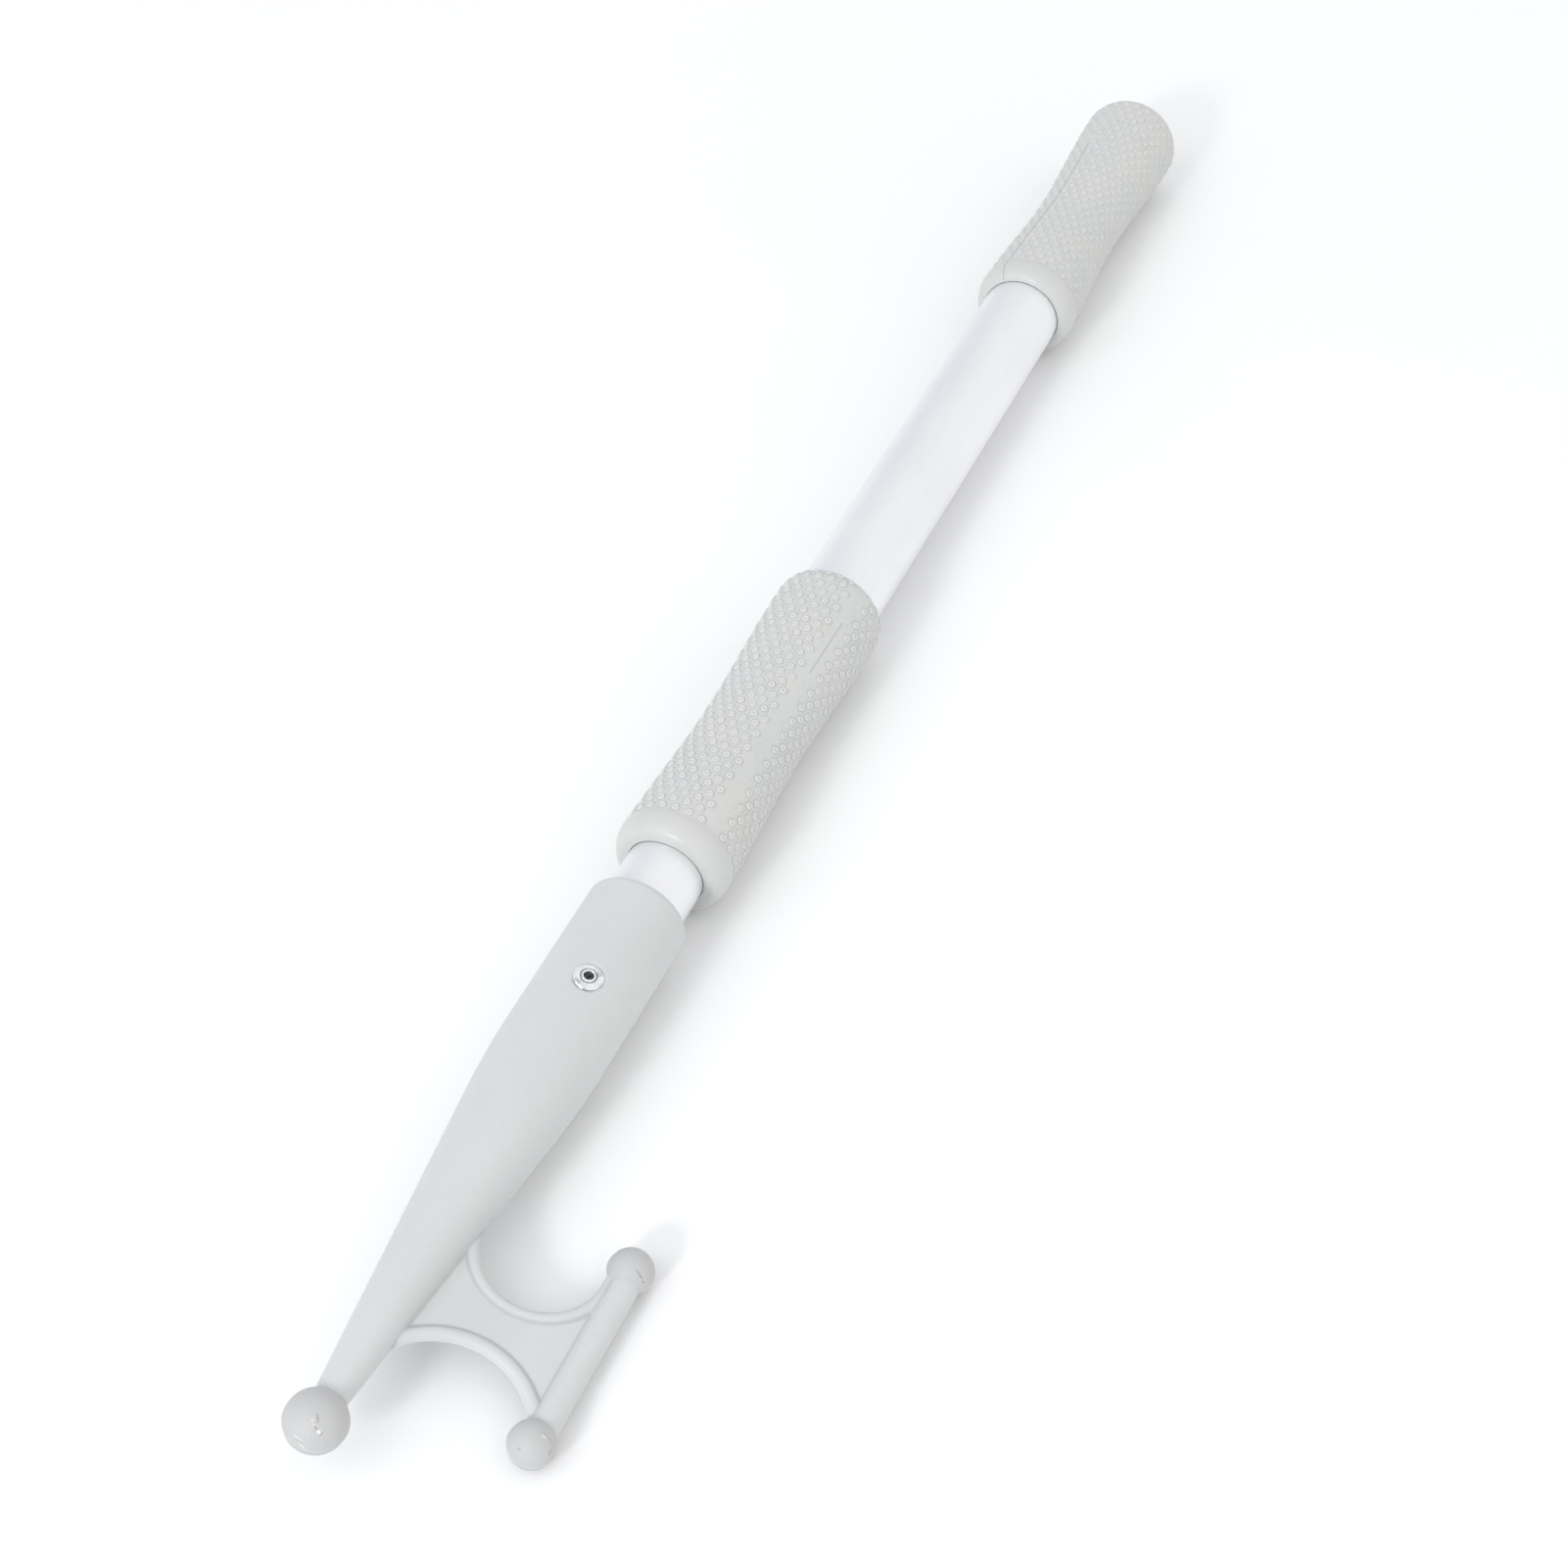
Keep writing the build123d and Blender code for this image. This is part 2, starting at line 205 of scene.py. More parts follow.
# Colours
HEAD_DARK = shade(202, 203, 203)
HEAD_LIGHT = shade(207, 208, 208)
# Painted shade for the head's creases and for the step below the parting line
HEAD_PAINTED_SHADE = shade(150, 153, 157)
# Painted highlight on the parting line and the socket's edge
HEAD_PAINTED_HIGHLIGHT = shade(230, 231, 232)
BALL_WORN = shade(190, 190, 190)
MARK_DARK = shade(152, 151, 147)
MARK_BRIGHT = shade(240, 240, 236)
MARK_RELIEF = 0.1
SPECK_SHADE = 0.93
GRIP_COOL = shade(204, 207, 206)
GRIP_WARM = shade(208, 208, 205)
GRIP_DIRT = shade(190, 189, 185)
# Painted shade with some dust in the pips' hollows, and a painted highlight on their rims
GRIP_HOLLOW_DUST_AND_SHADE = shade(184, 185, 183)
GRIP_RIM_HIGHLIGHT = shade(224, 224, 223)
GRIP_LINE = shade(150, 151, 149)
GRIP_PLAIN = shade(198, 199, 197)
TUBE_COOL = shade(236, 237, 240)
TUBE_LIGHT = shade(245, 245, 246)
TUBE_METALLIC = 0.85
RIVET_SMEAR = shade(140, 141, 144)
# Grime and painted shade in the rivets' groove and at their edge
RIVET_GRIME_AND_SHADE = shade(95, 95, 98)
RIVET_DARK = shade(228, 229, 231)
RIVET_LIGHT = shade(248, 249, 250)
PIN_DARK = shade(84, 84, 86)
PIN_LIGHT = shade(140, 140, 142)
ZINC_DARK = shade(176, 180, 186)
ZINC_LIGHT = shade(205, 208, 214)
BLACK_DARK = shade(30, 30, 32)
BLACK_LIGHT = shade(44, 44, 46)
BUSH_DARK = shade(150, 152, 152)
BUSH_LIGHT = shade(166, 168, 168)
FOAM_DARK = shade(205, 203, 192)
FOAM_LIGHT = shade(226, 225, 216)
FLOOR_DARK = shade(245, 245, 245)
FLOOR_LIGHT = shade(247, 247, 247)
SURROUND_DIM = shade(232, 234, 238)
SURROUND_BRIGHT = shade(255, 255, 255)

# Stage
FLOOR_SIZE = 12.0
SURROUND_STRENGTH = 1.0
BRIGHT_SIDE = (0.25, -0.8, 0.55)
KEY_DIRECTION = (-0.6, 0.35, 0.72)
KEY_DISTANCE = 3.0
KEY_SIZE = 1.9
KEY_POWER = 14.5
KEY_COLOUR = (0.97, 0.985, 1.0)
GLINT_DIRECTION = (-0.85, 0.09, 0.42)
GLINT_DISTANCE = 2.8
GLINT_SIZE = 0.4
GLINT_POWER = 18.0
GLINT_COLOUR = (1.0, 1.0, 1.0)
CAMERA_AZIMUTH = -66.23
CAMERA_ELEVATION = 45.66
CAMERA_LENS = 65.77
CAMERA_FROM_NOSE = (-275.5, -236.2, 560.1)

# Where the pole lies
axis_point = sum(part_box("outer_tube"), Vector()) / 2
nose = Vector((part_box("hook_head")[0].x + NOSE_R * MM, axis_point.y, axis_point.z))
droop = math.asin((nose.z / MM - BAR_BALL_R) / BAR_REACH)
HOOK_FRAME = Matrix.Translation(nose) @ Matrix.Rotation(math.pi + droop, 4, "X") @ Matrix.Scale(MM, 4)
LEVEL_FRAME = Matrix.Translation(nose) @ Matrix.Scale(MM, 4)


# Mesh helpers

def add_piece(name, points, faces, placing, material, body, node):
    """A smooth closed mesh piece that stands for a CAD node."""
    mesh = bpy.data.meshes.new(name)
    mesh.from_pydata(points, [], faces)
    mesh.transform(placing)
    tidy = bmesh.new()
    tidy.from_mesh(mesh)
    bmesh.ops.recalc_face_normals(tidy, faces=tidy.faces)
    tidy.to_mesh(mesh)
    tidy.free()
    mesh.polygons.foreach_set("use_smooth", np.ones(len(mesh.polygons), bool))
    mesh.set_sharp_from_angle(angle=math.radians(SHARP_ANGLE))
    mesh.materials.append(material)
    made = bpy.data.objects.new(name, mesh)
    bpy.context.scene.collection.objects.link(made)
    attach(made, body)
    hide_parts(node)
    return made


def carry(piece, name, values):
    """Give a piece's points a number each, for its material to read."""
    piece.data.attributes.new(name, "FLOAT", "POINT").data.foreach_set("value", values)


def welded(parts):
    """One mesh from several (points, faces) parts, with points at the same place joined."""
    offsets = np.cumsum([0] + [len(points) for points, faces in parts])
    points = np.concatenate([points for points, faces in parts])
    places = np.round(points[:, :3], 4)
    kept, first, where = np.unique(places, axis=0, return_index=True, return_inverse=True)
    where = where.reshape(-1)
    faces = []
    for offset, (part, part_faces) in zip(offsets, parts):
        for face in part_faces:
            corners = list(dict.fromkeys(where[offset + i] for i in face))
            if len(corners) > 2:
                faces.append(corners)
    return points[first], faces


def strip_faces(first, second, count):
    """Quads between two closed rings of count points each, given their first indices."""
    return [
        (first + i, first + (i + 1) % count, second + (i + 1) % count, second + i) for i in range(count)
    ]


def lathe(rings, closed=False):
    """(points, faces) through rings of equal length, each an array of points."""
    count = len(rings[0])
    points = np.concatenate(rings)
    faces = []
    for i in range(len(rings) - 1):
        faces += strip_faces(i * count, (i + 1) * count, count)
    if closed:
        faces += strip_faces((len(rings) - 1) * count, 0, count)
    return points, faces


def arc(centre, radii, start, end, count):
    """Points on an elliptical arc, with angles in degrees."""
    angles = np.radians(np.linspace(start, end, count))
    return np.column_stack([centre[0] + radii[0] * np.cos(angles), centre[1] + radii[1] * np.sin(angles)])


def curve_through(corners, steps=6):
    """A smooth curve through points, by Catmull and Rom's rule."""
    corners = np.array(corners, float)
    padded = np.concatenate([[2 * corners[0] - corners[1]], corners, [2 * corners[-1] - corners[-2]]])
    t = np.linspace(0, 1, steps, endpoint=False)[:, None]
    runs = []
    for a, b, c, d in zip(padded, padded[1:], padded[2:], padded[3:]):
        runs.append(
            (2 * b + (c - a) * t + (2 * a - 5 * b + 4 * c - d) * t**2 + (3 * b - a - 3 * c + d) * t**3) / 2
        )
    return np.concatenate(runs + [corners[-1:]])


# Hook head: a distance function, meshed and snapped to its surface

def round_union(a, b, radius):
    """Two distances joined with a fillet."""
    corner = np.hypot(np.maximum(radius - a, 0), np.maximum(radius - b, 0))
    return np.maximum(np.minimum(a, b), radius) - corner


def round_overlap(a, b, radius):
    """What two distances share, with its edge rounded."""
    return -round_union(-a, -b, radius)


def head_body(x, r):
    """The taper, the swell and the socket, with its bore: distances from station and radius."""
    taper_angle = math.atan(TAPER_SLOPE)
    swell_r = (SOCKET_R - TAPER_R_AT_NOSE - TAPER_SLOPE * TAPER_END) / (1 - math.cos(taper_angle))
    swell_end = TAPER_END + swell_r * math.sin(taper_angle)
    before_end = np.maximum(swell_end - x, 0)
    swell_height = np.sqrt(np.maximum(swell_r**2 - before_end**2, 1))
    on_taper = x < TAPER_END
    radius = np.where(on_taper, TAPER_R_AT_NOSE + TAPER_SLOPE * x, SOCKET_R - swell_r + swell_height)
    slope = np.where(on_taper, TAPER_SLOPE, before_end / swell_height)
    side = (r - radius) / np.sqrt(1 + slope**2)
    outside = np.maximum(round_overlap(side, x - SOCKET_RIM, SOCKET_ROUND), -x)
    bore = np.maximum(r - SOCKET_BORE_R, SOCKET_FLOOR - x)
    return round_overlap(outside, -bore, BORE_EDGE_ROUND)


def arc_rib(x, y, z, centre, radius, middle, half_angle):
    """A round rib along an arc in the hook's plane, by its middle direction and half angle."""
    along = np.arctan2(y - centre[1], x - centre[0]) - math.radians(middle)
    along = (along + math.pi) % (2 * math.pi) - math.pi
    limit = math.radians(half_angle)
    held = np.clip(along, -limit, limit) + math.radians(middle)
    away_x = x - centre[0] - radius * np.cos(held)
    away_y = y - centre[1] - radius * np.sin(held)
    return np.sqrt(away_x**2 + away_y**2 + z**2) - RIB_R


def rod(x, y, z, start, end, reach, radius):
    """A rod along the pole's direction, with round ends."""
    along = x - np.clip(x, start, end)
    return np.sqrt(along**2 + (y - reach) ** 2 + z**2) - radius


def hook_members(x, y, z):
    """The web, its ribs, the bar and its balls, one distance for each."""
    mouth_middle = (90 + MOUTH_RIB_END) / 2
    mouth = arc_rib(x, y, z, MOUTH_CENTRE, MOUTH_RIB_RADIUS, mouth_middle, MOUTH_RIB_END - mouth_middle)
    ridge = rod(x, y, z, MOUTH_CENTRE[0], BACK_BALL, MOUTH_CENTRE[1] + MOUTH_RIB_RADIUS, RIB_R)
    notch = arc_rib(x, y, z, NOTCH_CENTRE, NOTCH_RIB_RADIUS, 0, NOTCH_RIB_HALF_ANGLE)
    ribs = np.minimum(np.minimum(mouth, ridge), notch)
    outline = np.maximum.reduce([
        WEB_FRONT - x,
        x - MOUTH_CENTRE[0],
        WEB_FOOT - y,
        y - BAR_REACH,
        MOUTH_RIB_RADIUS - np.hypot(x - MOUTH_CENTRE[0], y - MOUTH_CENTRE[1]),
        NOTCH_RIB_RADIUS - np.hypot(x - NOTCH_CENTRE[0], y - NOTCH_CENTRE[1]),
    ])
    web = np.maximum(outline, np.abs(z) - WEB_THICKNESS / 2)
    bar = rod(x, y, z, FRONT_BALL, BACK_BALL, BAR_LINE, BAR_R)
    balls = np.minimum(
        rod(x, y, z, FRONT_BALL, FRONT_BALL, BAR_REACH, BAR_BALL_R),
        rod(x, y, z, BACK_BALL, BACK_BALL, BAR_REACH, BAR_BALL_R),
    )
    return web, ribs, bar, balls


def nose_ball(x, y, z):
    return np.sqrt(x**2 + y**2 + z**2) - NOSE_R


def head_distance(points):
    """The distance to the surface of the whole head, less than nothing inside it."""
    x, y, z = points.T
    web, ribs, bar, balls = hook_members(x, y, z)
    ribbed_web = round_union(web, ribs, RIB_FILLET)
    hook = round_union(round_union(ribbed_web, bar, BAR_FILLET), balls, BALL_FILLET)
    body = round_union(head_body(x, np.hypot(y, z)), nose_ball(x, y, z), BALL_FILLET)
    whole = round_union(body, hook, HOOK_FILLET)
    parting_line = PARTING_HEIGHT * np.exp(-((z / PARTING_HALF) ** 2))
    outside = (x > -NOSE_R) & ((x < SOCKET_FLOOR) | (np.hypot(y, z) > SOCKET_R - 1))
    whole = whole - parting_line * np.where(outside, np.clip(x + NOSE_R, 0, 1), 0)
    from_rivet = np.hypot(x - RIVET_STATION, y)
    seat = np.maximum(from_rivet - RIVET_SEAT_R, RIVET_SEAT - np.abs(z))
    return np.maximum.reduce([whole, RIVET_HOLE_R - from_rivet, -seat])


# The crease depth sets where the head's material paints shade
def crease_depth(points):
    """How deep each surface point lies in a crease between two of the head's members, from 0 to 1."""
    x, y, z = points.T
    web, ribs, bar, balls = hook_members(x, y, z)
    members = (web, ribs, bar, head_body(x, np.hypot(y, z)))
    second = np.sort(np.abs(members), axis=0)[1]
    on_ball = worn_share(points)
    return np.clip(1 - second / CREASE_REACH, 0, 1) * (1 - on_ball)


def worn_share(points):
    """1 on the three balls, which are worn, and 0 elsewhere."""
    x, y, z = points.T
    nearest = np.minimum(hook_members(x, y, z)[-1], nose_ball(x, y, z))
    return np.clip(1 - nearest / WORN_REACH, 0, 1)


def painted_edge_light_and_shade(points):
    """1 for a painted highlight on the parting line and the socket's edge, -1 for painted shadow in the step
    below the parting line, 0 elsewhere.
    """
    x, y, z = points.T
    crest = np.exp(-((z / PARTING_HALF) ** 2))
    step = np.interp(z, PARTING_STEP_Z, PARTING_STEP_SHADE)
    from_edge = np.hypot(x - SOCKET_RIM, np.hypot(y, z) - SOCKET_BORE_R - BORE_EDGE_ROUND)
    return np.where(from_edge < EDGE_REACH, 1 - from_edge / EDGE_REACH, crest - step)


def surface_net(distance, ticks):
    """(points, quads) over the surface of a distance function, from the grid's ticks along each axis."""
    grid = np.stack(np.meshgrid(*ticks, indexing="ij"), -1)
    field = distance(grid.reshape(-1, 3)).reshape(grid.shape[:3])
    inside = (field < 0).astype(np.int8)
    total = np.zeros(grid.shape)
    count = np.zeros(field.shape)
    unit = np.eye(3, dtype=int)
    quads = []
    for axis in range(3):
        near = np.argwhere(np.diff(inside, axis=axis) != 0)
        near_value = field[tuple(near.T)]
        far_value = field[tuple((near + unit[axis]).T)]
        crossing = near.astype(float)
        crossing[:, axis] += near_value / (near_value - far_value)
        u, v = unit[(axis + 1) % 3], unit[(axis + 2) % 3]
        cells = [near - u - v, near - v, near, near - u]
        for cell in cells:
            np.add.at(total, tuple(cell.T), crossing)
            np.add.at(count, tuple(cell.T), 1)
        corners = np.column_stack([np.ravel_multi_index(tuple(cell.T), field.shape) for cell in cells])
        quads.append(np.where((near_value > 0)[:, None], corners[:, ::-1], corners))
    used, where = np.unique(np.concatenate(quads), return_inverse=True)
    middles = total.reshape(-1, 3)[used] / count.reshape(-1)[used][:, None]
    points = [np.interp(place, np.arange(len(along)), along) for place, along in zip(middles.T, ticks)]
    return np.column_stack(points), where.reshape(-1, 4)


def snapped(distance, points, rounds=4, reach=0.05, longest=0.2):
    """Points moved down the slope of a distance function onto its surface."""
    for _ in range(rounds):
        slope = np.column_stack([
            (distance(points + reach * direction) - distance(points - reach * direction)) / (2 * reach)
            for direction in np.eye(3)
        ])
        move = distance(points) / np.maximum((slope**2).sum(1), 0.25)
        points = points - slope * np.clip(move, -longest, longest)[:, None]
    return points


def head_piece(material):
    socket_side = SOCKET_R + HEAD_MESH_MARGIN
    hook_side = BAR_REACH + BAR_BALL_R + HEAD_MESH_MARGIN
    side = np.arange(PARTING_MESH[-1], socket_side, HEAD_MESH_STEP)[1:]
    ticks = [
        np.arange(-NOSE_R - HEAD_MESH_MARGIN, SOCKET_RIM + HEAD_MESH_MARGIN, HEAD_MESH_STEP),
        np.arange(-socket_side, hook_side, HEAD_MESH_STEP),
        np.concatenate([-side[::-1], PARTING_MESH, side]),
    ]
    points, quads = surface_net(head_distance, ticks)
    points = snapped(head_distance, points)
    made = add_piece(
        "hook_head_moulding", points.tolist(), quads.tolist(), HOOK_FRAME, material,
        "pole", "hook_head",
    )
    carry(made, "crease", crease_depth(points))
    carry(made, "worn", worn_share(points))
    carry(made, "edge", painted_edge_light_and_shade(points))
    return made


# Rivets

def upright_rings(outline, side, segments=RIVET_SEGMENTS):
    """Rings round a rivet's axis from points of radius and height, on one side of the hook."""
    angles = np.linspace(0, 2 * math.pi, segments, endpoint=False)
    return [
        np.column_stack([
            RIVET_STATION + radius * np.cos(angles),
            radius * np.sin(angles),
            np.full(segments, side * height),
        ])
        for radius, height in outline
    ]


def rivet_piece(material):
    """Both rivets: a thin edge, a low dome and a raised ring round the hole that the pin broke off in."""
    inside = [
        (RIVET_INSIDE_R, RIVET_END),
        (RIVET_SHANK_R, RIVET_END),
        (RIVET_BULB_R, (RIVET_END + RIVET_BULB_TOP) / 2),
        (RIVET_BULB_R, RIVET_BULB_TOP),
        (RIVET_SHANK_R, RIVET_BULB_TOP),
        (RIVET_SHANK_R, RIVET_SEAT),
        (RIVET_R, RIVET_SEAT),
    ]
    outline = np.concatenate([curve_through(RIVET_DOME), RIVET_GROOVE, curve_through(RIVET_RING), inside])
    parts = [lathe(upright_rings(outline, side), closed=True) for side in (-1, 1)]
    points, faces = welded(parts)
    made = add_piece(
        "rivet_bodies_turned", points, faces, HOOK_FRAME, material, "pole", "rivet_bodies"
    )
    out = np.hypot(points[:, 0] - RIVET_STATION, points[:, 1])
    # Where the material paints grime and shade: in the groove and at the flange's edge
    in_groove = (out > 2.0) & (out < 2.3)
    at_edge = (out > RIVET_R - 0.02) & (np.abs(points[:, 2]) > RIVET_SEAT - 0.1)
    carry(made, "grime_and_shade", (in_groove | at_edge).astype(float))
    return made


def mandrel_piece(material):
    """The broken pins, each with a torn end."""
    random = np.random.default_rng(7)
    head_end = RIVET_END - MANDREL_HEAD_LENGTH
    shaft = [(0, head_end), (MANDREL_HEAD_R, head_end), (MANDREL_HEAD_R, RIVET_END), (MANDREL_R, RIVET_END)]
    torn = [(MANDREL_R, MANDREL_TOP - TORN_DEPTH)] + [(radius, MANDREL_TOP) for radius in (0.9, 0.6, 0.3)]
    parts = []
    for side in (-1, 1):
        rings = upright_rings(shaft + torn, side, PIN_SEGMENTS)
        for ring in rings[len(shaft) + 1:]:
            ring[:, 2] += side * random.uniform(-TORN_UNEVEN, TORN_UNEVEN, len(ring))
        tip = upright_rings([(0, MANDREL_TOP)], side, PIN_SEGMENTS)
        parts.append(lathe(rings + tip))
    points, faces = welded(parts)
    return add_piece(
        "rivet_pins_broken", points, faces, HOOK_FRAME, material, "pole", "rivet_mandrels"
    )


# Grips

def grip_profile(start, end, waist_r, back_drop):
    """Station and radius along the outside of a grip, from its front face to its back end."""
    front_rim = start + SHOULDER_LENGTH
    back_rim = end - SHOULDER_LENGTH
    waist = start + WAIST_SHARE * (end - start)
    front_centre = (front_rim, RIM_R - SHOULDER_DROP)
    front = arc(front_centre, (SHOULDER_LENGTH, SHOULDER_DROP), 180, 90, SHOULDER_STEPS)
    station = np.linspace(front_rim, back_rim, PROFILE_STEPS)[1:-1]
    share = np.where(
        station < waist,
        (station - front_rim) / (waist - front_rim),
        (back_rim - station) / (back_rim - waist),
    )
    side = np.column_stack([station, RIM_R - (RIM_R - waist_r) * share**2 * (3 - 2 * share)])
    back = arc((back_rim, RIM_R - back_drop), (SHOULDER_LENGTH, back_drop), 90, 0, SHOULDER_STEPS)
    profile = np.concatenate([front, side, back])
    sunk = np.clip((profile[:, 0] - start - SHOULDER_LENGTH) / (SMOOTH_SHOULDER - SHOULDER_LENGTH), 0, 1)
    profile[:, 1] -= PIP_HEIGHT * sunk**2 * (3 - 2 * sunk)
    return profile


class GripSkin:
    """The outside of a grip, addressed by the length along its profile and the angle round it."""

    def __init__(self, profile, seam_angle):
        steps = np.hypot(*np.diff(profile, axis=0).T)
        self.length = np.concatenate([[0], np.cumsum(steps)])
        self.profile = profile
        self.seam = math.radians(seam_angle)

    def at(self, length, angle, height=0.0):
        """Points at a height above the skin. Angles are in radians from the seam."""
        reach = 0.2
        station, radius = (np.interp(length, self.length, column) for column in self.profile.T)
        ahead, behind = length + reach, length - reach
        run, rise = (
            np.interp(ahead, self.length, column) - np.interp(behind, self.length, column)
            for column in self.profile.T
        )
        size = np.hypot(run, rise)
        return turned_points(station - height * rise / size, radius + height * run / size, angle + self.seam)

    def length_at(self, station):
        return np.interp(station, self.profile[:, 0], self.length)


def turned_points(station, radius, angle):
    """Points round the pole's axis in the level frame, with the angle from +Z towards -Y."""
    station, radius, angle = np.broadcast_arrays(station, radius, angle)
    return np.stack([station, -radius * np.sin(angle), radius * np.cos(angle)], -1)


def toned(points, relief=0.0, gloss=0.0):
    """Points with two more columns for the material: relief from -1 to 1, and gloss from 0 to 1."""
    extra = np.broadcast_to(np.array([relief, gloss]), points.shape[:-1] + (2,))
    return np.concatenate([points, extra], -1)


def pip_field(skin, start, end, seam_blank, clarity, random):
    """The honeycomb of ring-shaped pips, blank along the two seams, and the lengths of its two edges."""
    pitch_angle = 2 * math.pi / PIPS_ROUND
    rows = round((end - start) / (PIP_PITCH * math.sqrt(3) / 2)) + 1
    row_step = (end - start) / (rows - 1)
    around = np.radians(30 * np.arange(PIP_SIDES))
    hexagon = np.where(np.arange(PIP_SIDES) % 2, 1 / math.sqrt(3), 0.5)
    hexagon_angle = hexagon * np.cos(around) * pitch_angle
    hexagon_rise = hexagon * np.sin(around) * row_step * 2 / math.sqrt(3)
    parts = []
    for row in range(rows):
        middle = start + row * row_step
        radius = np.interp(middle, skin.length, skin.profile[:, 1])
        for column in range(PIPS_ROUND):
            angle = (column + row % 2 / 2) * pitch_angle
            rings = [toned(skin.at(middle + hexagon_rise, angle + hexagon_angle))]
            from_seam = (angle + math.pi / 2) % math.pi - math.pi / 2
            clear = clarity * (1 - random.uniform(0, PIP_UNEVEN))
            tall = clear * PIP_HEIGHT
            centre = 0.0
            if abs(from_seam) > seam_blank * pitch_angle:
                for ring_r, share in PIP_RINGS:
                    place = skin.at(
                        middle + ring_r * np.sin(around),
                        angle + ring_r * np.cos(around) / radius,
                        share * tall,
                    )
                    rings.append(toned(place, clear * (2 * share - 1)))
                centre = PIP_CENTRE
            tip = skin.at(middle, angle, centre * tall)
            tip_tone = clear * (2 * centre - 1) if centre else 0.0
            rings.append(toned(np.repeat(tip[None], PIP_SIDES, 0), tip_tone))
            parts.append(lathe(rings))
    front_edge = start - row_step * zigzag(0)
    back_edge = end + row_step * zigzag(rows - 1)
    return parts, front_edge, back_edge


def zigzag(row):
    """How far a row's hexagons reach past their centres, in row steps, at each angle of a grip's rings."""
    quarter = (np.arange(4 * PIPS_ROUND) + 2 + 2 * (row % 2)) % 4
    return 2 / 3 - np.abs(quarter - 2) / 6


def seam_bead(skin, angle, run, tone):
    """The thin line that the mould's edge leaves along a grip."""
    lengths = np.linspace(*run, SEAM_STEPS)
    radius = np.interp(lengths, skin.length, skin.profile[:, 1])
    half = SEAM_WIDTH / 2 / radius
    section = [(-1, 0.0), (0, SEAM_HEIGHT), (1, 0.0), (0, -SEAM_HEIGHT)]
    lines = [skin.at(lengths, angle + side * half, height) for side, height in section]
    rings = list(np.stack(lines, 1))
    ends = [np.repeat(ring.mean(0)[None], len(section), 0) for ring in (rings[0], rings[-1])]
    return lathe([toned(ring, tone) for ring in [ends[0]] + rings + [ends[1]]])


def grip_piece(name, node, waist_r, back_drop, pips, seam, front_inside, back_inside, material):
    """A grip: inner outline, smooth shoulder, honeycomb of pips, back end and seams, welded shut.

    The inner outlines hold stations from the grip's front and radii: from the front face to the
    bore's back end, and from the skin's back end to the same place. Pips are given by the last
    one's place from the back end and their clarity. The seam is its angle, the blank strip's half
    width in pips, and the run and tone of its line."""
    low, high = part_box(node)
    start, end = (low.x - nose.x) / MM, (high.x - nose.x) / MM
    seam_angle, seam_blank, seam_run, seam_tone = seam
    last_pip, clarity = pips
    random = np.random.default_rng(len(name))
    skin = GripSkin(grip_profile(start, end, waist_r, back_drop), seam_angle)
    round_it = 2 * math.pi * np.arange(4 * PIPS_ROUND) / (4 * PIPS_ROUND)
    first_row = skin.length_at(start + FIRST_PIP)
    last_row = skin.length[-1] - last_pip
    field, front_edge, back_edge = pip_field(skin, first_row, last_row, seam_blank, clarity, random)
    inside = [
        toned(turned_points(start + station, radius, round_it + skin.seam), 0.0, 1.0)
        for station, radius in front_inside
    ]
    front_lengths = np.linspace(0, front_edge.min() - FRONT_GAP, FRONT_RINGS)
    back_lengths = np.linspace(back_edge.max() + BACK_GAP, skin.length[-1], BACK_RINGS)
    shoulder = [toned(skin.at(length, round_it), 0.0, 1.0) for length in front_lengths]
    back = [toned(skin.at(length, round_it), 0.0, 1.0) for length in back_lengths]
    closing = [
        toned(turned_points(end + station, radius, round_it + skin.seam), 0.0, 1.0)
        for station, radius in back_inside
    ]
    front_part = lathe(inside[::-1] + shoulder + [toned(skin.at(front_edge, round_it))])
    back_part = lathe([toned(skin.at(back_edge, round_it))] + back + closing)
    beads = [seam_bead(skin, angle, seam_run, seam_tone) for angle in (0, math.pi)]
    points, faces = welded([front_part, back_part] + field + beads)
    made = add_piece(name, points[:, :3], faces, LEVEL_FRAME, material, "handle", node)
    carry(made, "relief", points[:, 3])
    carry(made, "gloss", points[:, 4])
    return made


def lower_grip_piece(material):
    """The sleeve over the outer tube's mouth, with a lip that closes in on the inner tube."""
    lip = arc((LIP_ROUND, LIP_R + LIP_ROUND), (LIP_ROUND, LIP_ROUND), 180, 270, LIP_STEPS).tolist()
    inside = lip + [(LIP_THICKNESS, LIP_R), (LIP_THICKNESS, GRIP_BORE_R), (GRIP_LENGTH, GRIP_BORE_R)]
    seam = (LOWER_SEAM_ANGLE, LOWER_SEAM_BLANK, LOWER_SEAM_RUN, LOWER_SEAM_TONE)
    return grip_piece(
        "lower_grip_sleeve", "lower_grip", LOWER_WAIST_R, SHOULDER_DROP, (LOWER_LAST_PIP, LOWER_CLARITY),
        seam, inside, [(0, GRIP_BORE_R)], material,
    )


